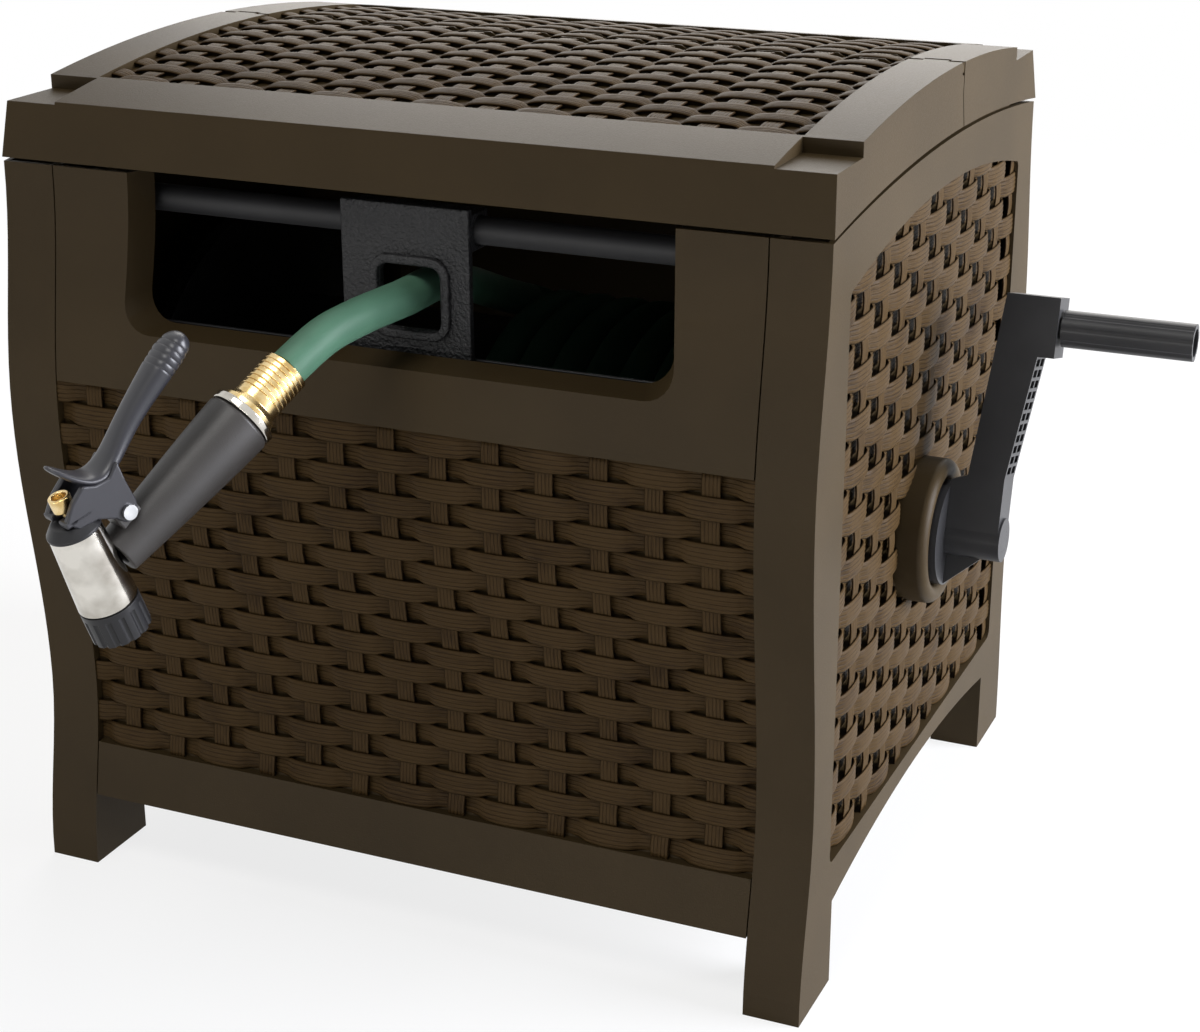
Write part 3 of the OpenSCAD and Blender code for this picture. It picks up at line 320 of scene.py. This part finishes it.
def dressNode(name, material, edge, weldWithin=0.01):
    obj = nodes[name]
    putMaterial(obj, material)
    weld = obj.modifiers.new("weld", "WELD")
    weld.merge_threshold = weldWithin * mm
    softEdges(obj, edge)


nodeFinish = {  # material, and width of the soft edges in millimetres
    "left_side_panel": (brown, 1.6),
    "right_side_panel": (brown, 1.6),
    "front_panel": (brown, 1.4),
    "rear_panel": (brown, 1.4),
    "lid_flap": (brown, 1.4),
    "lid_rear_section": (brown, 1.4),
    "lid_hinge_pins": (steel, 0.3),
    "panel_screws": (steel, 0.4),
    "left_bush": (black, 0.6),
    "right_bush": (black, 0.6),
    "inlet_tube": (black, 0.6),
    "inlet_retainer": (black, 1.0),
    "retainer_screws": (steel, 0.5),
    "inlet_seals": (sealRubber, 0.2),
    "guide_rail": (railSatin, 0.8),
    "rail_brackets": (black, 1.0),
    "guide_track": (black, 0.6),
    "reel_drum": (black, 0.5),
    "left_flange": (black, 1.0),
    "right_flange": (black, 1.0),
    "water_axle": (black, 0.6),
    "outlet_elbow": (brass, 0.5),
    "crank_arm": (blackGloss, 1.1),
    "crank_screw": (blackGloss, 0.8),
    "grip_clip": (steel, 0.3),
    "crank_grip": (blackGloss, 0.5),
    "guide_plate": (guideGrain, 1.2),
    "guide_rim": (guideGrain, 1.6),
    "hose_coupling": (brass, 0.25),
    "handle_ring": (chrome, 0.8),
    "nozzle_head": (chrome, 1.2),
    "trigger_pin": (steel, 0.9),
    "valve_rod": (brass, 0.4),
    "flow_nut": (brass, 0.7),
    "spray_collar": (black, 0.8),
}
for nodeName, (finish, edgeSize) in nodeFinish.items():
    dressNode(nodeName, finish, edgeSize)
print("CAD nodes dressed:", len(nodeFinish))


def addPiece(name, mesh, material, body):
    obj = addObject(name, mesh)
    putMaterial(obj, material)
    if body:
        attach(obj, body)
    return obj


# hose: the winding on the drum, and one run from the drum through the guide to the coupling

hoseFacts = {  # millimetres and degrees
    "radius": 12,
    "drumRadius": 110,
    "turnGap": 1,
    "reelHalf": 225,
    "axisY": -16,
    "axisZ": 257,
    "turns": 9.25,
    "leaveAngle": 70,
    "pointsPerTurn": 40,
    "leadRoute": [(-18, -30, 392), (-12, -75, 408.5), (-3, -120, 424.5), (3, -160, 437), (5, -182, 442)],
    "endRoute": [(5, -196, 443), (5, -212, 443), (5, -228, 443), (3.5, -251, 443.5), (-1.5, -277, 442),
                 (-9.5, -303, 436.5), (-20, -329, 422)],
    "stepsBetween": 5,
}


def windingPoints(facts):
    ringRadius = facts["drumRadius"] + facts["radius"] + facts["turnGap"] / 2
    startX = facts["reelHalf"] - facts["radius"] - facts["turnGap"]
    pitch = 2 * facts["radius"] + facts["turnGap"]
    startAngle = math.radians(facts["leaveAngle"] - 360 * facts["turns"])
    straight = 2 * facts["radius"]
    count = round(facts["pointsPerTurn"] * facts["turns"])
    points = []
    for i in range(count + 1):
        turns = i / facts["pointsPerTurn"]
        angle = startAngle + 2 * math.pi * turns
        points.append(atBox(startX - pitch * turns, facts["axisY"] + ringRadius * math.cos(angle),
                            facts["axisZ"] + ringRadius * math.sin(angle)))
    lastAngle = startAngle + 2 * math.pi * facts["turns"]
    inward = Vector((0, -math.sin(startAngle), math.cos(startAngle))) * straight * mm
    outward = Vector((0, -math.sin(lastAngle), math.cos(lastAngle))) * straight * mm
    return [points[0] - inward] + points + [points[-1] + outward]


# smooth curve through the route's points
def curveThrough(points, steps):
    padded = [points[0]] + points + [points[-1]]
    made = []
    for a, b, c, d in zip(padded, padded[1:], padded[2:], padded[3:]):
        for s in range(steps):
            t = s / steps
            made.append(0.5 * (2 * b + (c - a) * t + (2 * a - 5 * b + 4 * c - d) * t * t
                               + (3 * b - a - 3 * c + d) * t ** 3))
    return made + [points[-1]]


def lengthOf(points):
    return sum((b - a).length for a, b in zip(points, points[1:]))


def tubeMesh(name, points, radius, rings=5):
    curve = bpy.data.curves.new(name, "CURVE")
    curve.dimensions = "3D"
    curve.bevel_depth = radius
    curve.bevel_resolution = rings
    curve.use_fill_caps = True
    spline = curve.splines.new("POLY")
    spline.points.add(len(points) - 1)
    for point, place in zip(spline.points, points):
        point.co = (*place, 1)
    holder = bpy.data.objects.new(name + "Line", curve)
    mesh = bpy.data.meshes.new_from_object(holder)
    bpy.data.objects.remove(holder)
    bpy.data.curves.remove(curve)
    return mesh


hoseRadius = hoseFacts["radius"] * mm
windPath = windingPoints(hoseFacts)
runRoute = [windPath[-1]] + [atBox(*p) for p in hoseFacts["leadRoute"] + hoseFacts["endRoute"]]
runPath = curveThrough(runRoute, hoseFacts["stepsBetween"])
winding = addPiece("hoseWinding", tubeMesh("hoseWinding", windPath, hoseRadius), woundVinyl, "reel")
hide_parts("hose_winding")
run = addPiece("hoseRun", tubeMesh("hoseRun", runPath, hoseRadius), hoseVinyl, None)
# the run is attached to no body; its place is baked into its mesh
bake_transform(run)
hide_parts("hose_lead", "hose_end")
print("hose made:", round(lengthOf(windPath), 3), round(lengthOf(runPath), 3))


# woven fields: strips over and under flat stakes

shell = {  # outline of the walls, the lid and the side fields, in millimetres
    "half": 286,
    "topReach": 235.5,
    "topZ": 506.5,
    "bulgeReach": 252,
    "bulgeZ": 340,
    "waistReach": 235.5,
    "waistZ": 140,
    "frontFoot": 252,
    "rearFoot": 243,
    "lidCrown": 567,
    "lidRadius": 1282,
    "fieldTopZ": 470,
    "fieldRise": 22,
    "fieldHalf": 199,
    "fieldCorner": 6,
}


def easeBetween(a, b, t):
    return a + (b - a) * (1 - math.cos(math.pi * t)) / 2


def reach(z, foot):
    if z < shell["waistZ"]:
        return easeBetween(foot, shell["waistReach"], z / shell["waistZ"])
    if z < shell["bulgeZ"]:
        rise = (z - shell["waistZ"]) / (shell["bulgeZ"] - shell["waistZ"])
        return easeBetween(shell["waistReach"], shell["bulgeReach"], rise)
    rise = (min(z, shell["topZ"]) - shell["bulgeZ"]) / (shell["topZ"] - shell["bulgeZ"])
    return easeBetween(shell["bulgeReach"], shell["topReach"], rise)


def onFront(along, across, depth):
    return atBox(along, -reach(across, shell["frontFoot"]) - depth, across)


def onRear(along, across, depth):
    return atBox(-along, reach(across, shell["rearFoot"]) + depth, across)


def onRight(along, across, depth):
    return atBox(shell["half"] + depth, along, across)


def onLeft(along, across, depth):
    return atBox(-shell["half"] - depth, -along, across)


def onLid(along, across, depth):
    return atBox(along, across, shell["lidCrown"] - across * across / (2 * shell["lidRadius"]) + depth)


def sideTop(along):
    inner = shell["fieldHalf"] - shell["fieldCorner"]
    return shell["fieldTopZ"] + shell["fieldRise"] * (1 - min(1, (along / inner) ** 2))


wall = {  # shared by the woven fields, lengths in millimetres
    "stakePitch": 36.6,
    "stakeWidth": 12.5,
    "stakeDepth": -2.6,
    "stakeBow": 0.6,
    "stakeSteps": 4,
    "middle": -3.6,
    "bow": 3.0,
    "fullness": 0.5,
    "crown": 0.9,
    "ribs": 5,
    "rib": 0.4,
    "bandShare": 1.03,
    "pinch": 0.13,
    "stepsPerStake": 12,
    "thickness": 1,
    "tuck": 3,
    "half": 247,
    "smallestFace": 0.01,
}
sideWall = dict(wall, half=shell["fieldHalf"], start=90, end=492, rows=26, top=sideTop, stakePitch=39,
                middle=-4.4, bow=3.1, stakeDepth=-3.2)
lidTop = dict(wall, put=onLid, tuck=1, bow=2.5, middle=-3.2)
fields = {
    "frontWeave": dict(wall, body="cabinet", put=onFront, start=92, end=364.5, rows=18),
    "rearWeave": dict(wall, body="cabinet", put=onRear, start=92, end=440, rows=23),
    "rightWeave": dict(sideWall, body="cabinet", put=onRight),
    "leftWeave": dict(sideWall, body="cabinet", put=onLeft),
    "lidWeave": dict(lidTop, body="lid", start=-177, end=37.4, rows=16),
    "lidRearWeave": dict(lidTop, body="cabinet", start=42.9, end=177, rows=10),
}


def addStrip(bm, alongSteps, acrossSteps, shape):
    made = bmesh.ops.create_grid(bm, x_segments=alongSteps, y_segments=acrossSteps, size=1, calc_uvs=True)
    for vert in made["verts"]:
        vert.co = shape(vert.co.x, vert.co.y)


def ribSink(field, v):
    return field["rib"] * (1 + math.cos(math.pi * (v + 1) * field["ribs"])) / 2


def wovenMesh(name, field):
    bm = bmesh.new()
    bm.loops.layers.uv.new("strip")
    rowPitch = (field["end"] - field["start"]) / field["rows"]
    half = field["half"] + field["tuck"]
    topOf = field.get("top", lambda along: field["end"])

    def tucked(along, across):
        return max(field["start"] - field["tuck"], min(across, topOf(along) + field["tuck"]))

    stakeCount = int(half / field["stakePitch"])
    alongSteps = round(2 * half / field["stakePitch"] * field["stepsPerStake"])
    for row in range(field["rows"]):
        centre = field["start"] + (row + 0.5) * rowPitch
        flip = math.pi * (row % 2)

        def band(u, v):
            along = u * half
            swing = math.cos(math.pi * along / field["stakePitch"] + flip)
            wave = math.copysign(abs(swing) ** field["fullness"], swing)
            depth = field["middle"] + field["bow"] * wave - field["crown"] * v ** 4 - ribSink(field, v)
            narrow = field["bandShare"] * (1 - field["pinch"] * (1 - wave) / 2)
            across = tucked(along, centre + v * rowPitch * narrow / 2)
            return field["put"](along, across, depth)

        addStrip(bm, alongSteps, 2 * field["ribs"], band)
    for stake in range(-stakeCount, stakeCount + 1):
        middle = stake * field["stakePitch"]

        def upright(u, v):
            along = middle - v * field["stakeWidth"] / 2
            across = field["start"] + (u + 1) / 2 * (field["end"] - field["start"])
            row = (across - field["start"]) / rowPitch - 0.5
            bow = -field["stakeBow"] * math.cos(math.pi * (row + stake))
            depth = field["stakeDepth"] + bow - ribSink(field, v)
            return field["put"](along, tucked(along, across), depth)

        addStrip(bm, field["rows"] * field["stakeSteps"], 2 * field["ribs"], upright)
    flat = [f for f in bm.faces if f.calc_area() < field["smallestFace"] * mm * mm]
    bmesh.ops.delete(bm, geom=flat, context="FACES")
    return meshFrom(bm, name)


for fieldName, field in fields.items():
    made = addPiece(fieldName, wovenMesh(fieldName, field), weave, field["body"])
    sheet = made.modifiers.new("thickness", "SOLIDIFY")
    sheet.thickness = field["thickness"] * mm
    sheet.offset = -1
    print(fieldName, "faces:", len(made.data.polygons))


# nozzle handle, lever and lug, in a frame along the handle with the lever above

nozzleFrame = {"pitch": 35, "heading": 245, "pivotX": 130, "pivotZ": 22}
handleMatrix = (Matrix.Translation(atBox(*hoseFacts["endRoute"][-1]))
                @ turnAbout("Z", nozzleFrame["heading"]) @ turnAbout("Y", nozzleFrame["pitch"]))
pivotMatrix = handleMatrix @ shift(nozzleFrame["pivotX"], 0, nozzleFrame["pivotZ"])

sleeveShape = {
    "start": 42,
    "length": 106,
    "wideRadius": 21,
    "endRadius": 14,
    "boreRadius": 8.5,
    "taper": 1.25,
    "lip": 2,
    "stations": 14,
    "steps": 40,
    "edge": 0.8,
    "edgeAngle": 40,
}


# turned shape about X from a closed profile of places along the axis and radii
def turnedMesh(name, profile, steps, matrix):
    bm = bmesh.new()
    verts = [bm.verts.new((x * mm, 0, r * mm)) for x, r in profile]
    for a, b in zip(verts, verts[1:] + verts[:1]):
        bm.edges.new((a, b))
    bmesh.ops.spin(bm, geom=bm.verts[:] + bm.edges[:], cent=(0, 0, 0), axis=(1, 0, 0), dvec=(0, 0, 0),
                   angle=2 * math.pi, steps=steps, use_merge=True)
    bmesh.ops.recalc_face_normals(bm, faces=bm.faces[:])
    bm.transform(matrix)
    return meshFrom(bm, name)


def sleeveProfile(shape):
    start = shape["start"]
    profile = [(start, shape["boreRadius"]), (start, shape["wideRadius"] - shape["lip"])]
    for i in range(shape["stations"] + 1):
        share = i / shape["stations"]
        along = start + shape["lip"] + share * (shape["length"] - shape["lip"])
        ease = share ** shape["taper"]
        profile.append((along, shape["wideRadius"] + (shape["endRadius"] - shape["wideRadius"]) * ease))
    return profile + [(start + shape["length"], shape["boreRadius"])]


sleeveTurned = turnedMesh("gripSleeve", sleeveProfile(sleeveShape), sleeveShape["steps"], handleMatrix)
gripSleeve = addPiece("gripSleeve", sleeveTurned, sleeveGrip, "guide")
softEdges(gripSleeve, sleeveShape["edge"], sleeveShape["edgeAngle"])
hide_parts("handle_sleeve")

# black cap over the top of the nozzle head, along the head's axis and away from it
capShape = {
    "headX": 157,
    "headZ": 33,
    "turn": 75,
    "profile": [(-5.1, 3.6), (-6.2, 3.6), (-6.2, 11), (-5.6, 12.3), (-0.6, 16.2), (1, 16.2), (1, 15.8),
                (0, 15.6), (-5.1, 11.6)],
    "steps": 40,
    "edge": 0.4,
}
headMatrix = handleMatrix @ shift(capShape["headX"], 0, capShape["headZ"]) @ turnAbout("Y", capShape["turn"])
capTurned = turnedMesh("headCap", capShape["profile"], capShape["steps"], headMatrix)
headCap = addPiece("headCap", capTurned, black, "guide")
softEdges(headCap, capShape["edge"])

# lug between the cheeks, for the lever's pin
lugShape = {"width": 16, "half": 8, "low": -14, "high": 5, "edge": 1.5}


def lugMesh(shape):
    bm = bmesh.new()
    made = bmesh.ops.create_cube(bm, size=1)["verts"]
    size = Vector((shape["width"], 2 * shape["half"], shape["high"] - shape["low"])) * mm
    middle = Vector((0, 0, (shape["high"] + shape["low"]) / 2)) * mm
    bmesh.ops.scale(bm, verts=made, vec=size)
    bmesh.ops.translate(bm, verts=made, vec=middle)
    bm.transform(pivotMatrix)
    return meshFrom(bm, "pivotLug")


pivotLug = addPiece("pivotLug", lugMesh(lugShape), sleeveGrip, "guide")
softEdges(pivotLug, lugShape["edge"])

# stations from the paddle's tip to the spur: along, above, half width, half thickness
leverShape = {
    "stations": [
        (-94, 45.5, 3, 2.2), (-92.4, 45.6, 6.8, 4.8), (-88.5, 45.6, 9.6, 6.9), (-80, 44.6, 10.9, 7.9),
        (-68, 42.2, 10.6, 7.6), (-56, 39.4, 9.7, 6.9), (-44, 36.4, 8.9, 6.3), (-32, 32.6, 8.6, 5.8),
        (-21, 28.4, 9.2, 5.2), (-12, 25.4, 10.4, 4.5), (-3, 24.8, 11.8, 3.8), (4, 28.2, 12.2, 3.2),
        (9.5, 36, 11, 2.6), (13.5, 45, 8, 2), (16, 51.5, 3.6, 1.2),
    ],
    "grooves": (-85.5, -81.5, -77.5, -73.5, -69.5),
    "grooveWidth": 0.5,
    "grooveDepth": 0.55,
    "squareness": 0.78,
    "sides": 20,
    "smoothing": 2,
    "cheek": [(-14, 28), (-10.5, 15), (-8, 2), (-5, -4.5), (0, -6.5), (5, -4.5), (8, 2.5), (16, 11),
              (27.5, 15.2), (30.9, 24), (21, 30), (10, 33), (4, 27.5), (-4, 24.5)],
    "cheekIn": 8.5,
    "cheekOut": 13,
    "saddle": [(15.5, 15.9), (32.7, 20.6), (31.8, 24.5), (14.6, 19.8)],
    "slotHalf": 4,
    "edge": 1.2,
}


def groovedStations(shape):
    stations = list(shape["stations"])
    for groove in shape["grooves"]:
        for a, b in zip(shape["stations"], shape["stations"][1:]):
            if a[0] <= groove < b[0]:
                for step in (-1, 0, 1):
                    share = (groove + step * shape["grooveWidth"] - a[0]) / (b[0] - a[0])
                    spot = [p + (q - p) * share for p, q in zip(a, b)]
                    sink = 0 if step else shape["grooveDepth"]
                    stations.append((spot[0], spot[1], spot[2] - sink, spot[3] - sink))
    return sorted(stations)


def leverMesh(shape):
    bm = bmesh.new()
    stations = groovedStations(shape)
    middles = [Vector((station[0], 0, station[1])) for station in stations]
    ring = bmesh.ops.create_circle(bm, cap_ends=True, segments=shape["sides"], radius=1)["verts"]
    unit = [[math.copysign(abs(c) ** shape["squareness"], c) for c in v.co] for v in ring]
    for i, (*_, width, thick) in enumerate(stations):
        ahead = middles[min(i + 1, len(middles) - 1)] - middles[max(i - 1, 0)]
        above = Vector((-ahead.z, 0, ahead.x)).normalized()
        if i:
            edges = list({e for v in ring for e in v.link_edges if e.other_vert(v) in ring})
            made = bmesh.ops.extrude_edge_only(bm, edges=edges)["geom"]
            fresh = [g for g in made if isinstance(g, bmesh.types.BMVert)]
            pairs = {}
            for v in fresh:
                for e in v.link_edges:
                    if e.other_vert(v) in ring:
                        pairs[e.other_vert(v)] = v
            ring = [pairs[v] for v in ring]
        for v, spot in zip(ring, unit):
            v.co = (middles[i] + above * spot[1] * thick + Vector((0, spot[0] * width, 0))) * mm
    bmesh.ops.contextual_create(bm, geom=ring)
    bmesh.ops.recalc_face_normals(bm, faces=bm.faces[:])
    bm.transform(pivotMatrix)
    return meshFrom(bm, "leverPaddle")


def plateInto(bm, outline, sideA, sideB):
    verts = [bm.verts.new((x * mm, sideA * mm, z * mm)) for x, z in outline]
    face = bm.faces.new(verts)
    made = bmesh.ops.extrude_face_region(bm, geom=[face])["geom"]
    raised = [g for g in made if isinstance(g, bmesh.types.BMVert)]
    bmesh.ops.translate(bm, verts=raised, vec=(0, (sideB - sideA) * mm, 0))


def cheekMesh(shape):
    bm = bmesh.new()
    for side in (1, -1):
        plateInto(bm, shape["cheek"], side * shape["cheekIn"], side * shape["cheekOut"])
        plateInto(bm, shape["saddle"], side * shape["slotHalf"], side * shape["cheekOut"])
    bmesh.ops.recalc_face_normals(bm, faces=bm.faces[:])
    bm.transform(pivotMatrix)
    return meshFrom(bm, "leverCheeks")


leverPaddle = addPiece("leverPaddle", leverMesh(leverShape), leverPaint, "trigger")
smooth = leverPaddle.modifiers.new("smooth", "SUBSURF")
smooth.levels = leverShape["smoothing"]
smooth.render_levels = leverShape["smoothing"]
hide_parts("trigger_lever")
leverCheeks = addPiece("leverCheeks", cheekMesh(leverShape), leverPaint, "trigger")
softEdges(leverCheeks, leverShape["edge"])
print("nozzle made")


# floor, world and lights

stageSetup = {
    "floorSize": 30,
    "floorColour": (0.86, 0.86, 0.86, 1),
    "floorRough": 0.9,
    "floorGlow": 0.8,
    "whiteFrom": 1,
    "whiteAt": 2.6,
    "skyLight": 0.025,
    "lights": [
        # name, place, aim, size, power, colour
        ("keyRight", (2.5, 0.6, 1.0), (0.1, 0, 0.3), (1.8, 1.8), 228, (0.95, 0.97, 1.06)),
        ("topBack", (-0.7, 2.2, 1.7), (0, 0, 0.5), (2.2, 2.2), 60, (1, 0.97, 0.93)),
        ("topFront", (-0.3, -1.7, 3.2), (0, -0.2, 0.3), (1.6, 1.0), 44, (1, 0.985, 0.96)),
        ("fillFront", (-0.5, -3.0, 0.2), (0, 0, 0.2), (2.6, 0.3), 22, (1, 0.98, 0.95)),
    ],
}


# camera, glossy and transmission rays see the plain white backdrop
def seenDirectly(tree):
    path = addNode(tree, "ShaderNodeLightPath")
    mirrored = combine(tree, "MAXIMUM", path.outputs["Is Camera Ray"], path.outputs["Is Glossy Ray"])
    return combine(tree, "MAXIMUM", mirrored, path.outputs["Is Transmission Ray"])


def mixInto(tree, output, share, lit, plain):
    mix = addNode(tree, "ShaderNodeMixShader")
    for socket, source in zip(mix.inputs, (share, lit, plain)):
        tree.links.new(source, socket)
    tree.links.new(mix.outputs["Shader"], tree.nodes[output].inputs["Surface"])


def makeWorld(setup):
    world = bpy.data.worlds.new("studio")
    world.use_nodes = True
    tree = world.node_tree
    sky = tree.nodes["Background"]
    sky.inputs["Color"].default_value = (1, 1, 1, 1)
    sky.inputs["Strength"].default_value = setup["skyLight"]
    white = addNode(tree, "ShaderNodeBackground", {"Color": (1, 1, 1, 1), "Strength": 1})
    mixInto(tree, "World Output", seenDirectly(tree), sky.outputs["Background"], white.outputs["Background"])
    bpy.context.scene.world = world


def makeFloor(setup):
    bm = bmesh.new()
    bmesh.ops.create_grid(bm, x_segments=1, y_segments=1, size=setup["floorSize"] / 2)
    floor = addObject("floor", meshFrom(bm, "floor"))
    material = bpy.data.materials.new("floorPale")
    material.use_nodes = True
    tree = material.node_tree
    shader = tree.nodes["Principled BSDF"]
    shader.inputs["Base Color"].default_value = setup["floorColour"]
    shader.inputs["Roughness"].default_value = setup["floorRough"]
    glow = addNode(tree, "ShaderNodeEmission", {"Color": (1, 1, 1, 1), "Strength": 1})
    place = addNode(tree, "ShaderNodeTexCoord").outputs["Object"]
    away = addNode(tree, "ShaderNodeVectorMath", operation="LENGTH")
    tree.links.new(place, away.inputs[0])
    amount = addNode(tree, "ShaderNodeMapRange", {
        "From Min": setup["whiteFrom"], "From Max": setup["whiteAt"], "To Min": setup["floorGlow"]})
    tree.links.new(away.outputs["Value"], amount.inputs["Value"])
    share = combine(tree, "MULTIPLY", seenDirectly(tree), amount.outputs["Result"])
    mixInto(tree, "Material Output", share, shader.outputs["BSDF"], glow.outputs["Emission"])
    floor.data.materials.append(material)


def makeLights(setup):
    for name, place, aim, size, power, colour in setup["lights"]:
        data = bpy.data.lights.new(name, "AREA")
        data.shape = "RECTANGLE"
        data.size, data.size_y = size
        data.energy = power
        data.color = colour
        lamp = addObject(name, data)
        away = Vector(place) - Vector(aim)
        lamp.location = place
        lamp.rotation_euler = away.to_track_quat("Z", "Y").to_euler()


makeWorld(stageSetup)
makeFloor(stageSetup)
makeLights(stageSetup)
bpy.context.scene.view_settings.view_transform = "Standard"
print("stage made")
